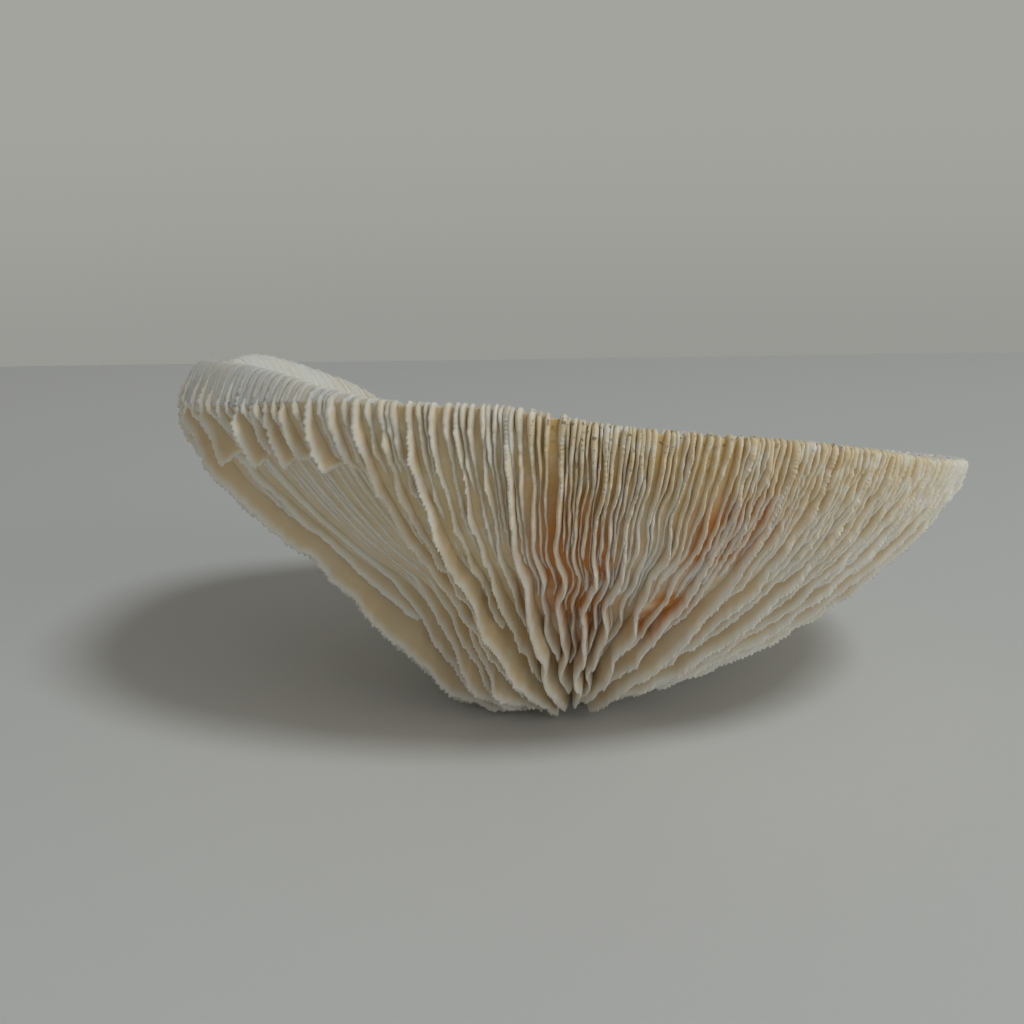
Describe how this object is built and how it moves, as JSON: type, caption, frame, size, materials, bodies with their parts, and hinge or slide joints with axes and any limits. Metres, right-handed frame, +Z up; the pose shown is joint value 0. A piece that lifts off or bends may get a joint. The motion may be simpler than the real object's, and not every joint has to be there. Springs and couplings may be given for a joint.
{
  "type": "mushroom coral skeleton",
  "caption": "Bowl-shaped stony coral skeleton resting on its radial septa, which run from a slit mouth up to a thin, wavy margin.",
  "frame": {"origin": "on the table, under the middle of the part's bounding box", "axes": "+X to the right along the longest extent, +Y away from the mouth's side, +Z up from the table"},
  "size_m": [0.1506, 0.1272, 0.0706],
  "materials": {
    "coral_skeleton": "chalky, matt, off-white limestone with ochre stains between the septa"
  },
  "bodies": {
    "root": {"mushroom_coral": "coral_skeleton"}
  },
  "joints": []
}
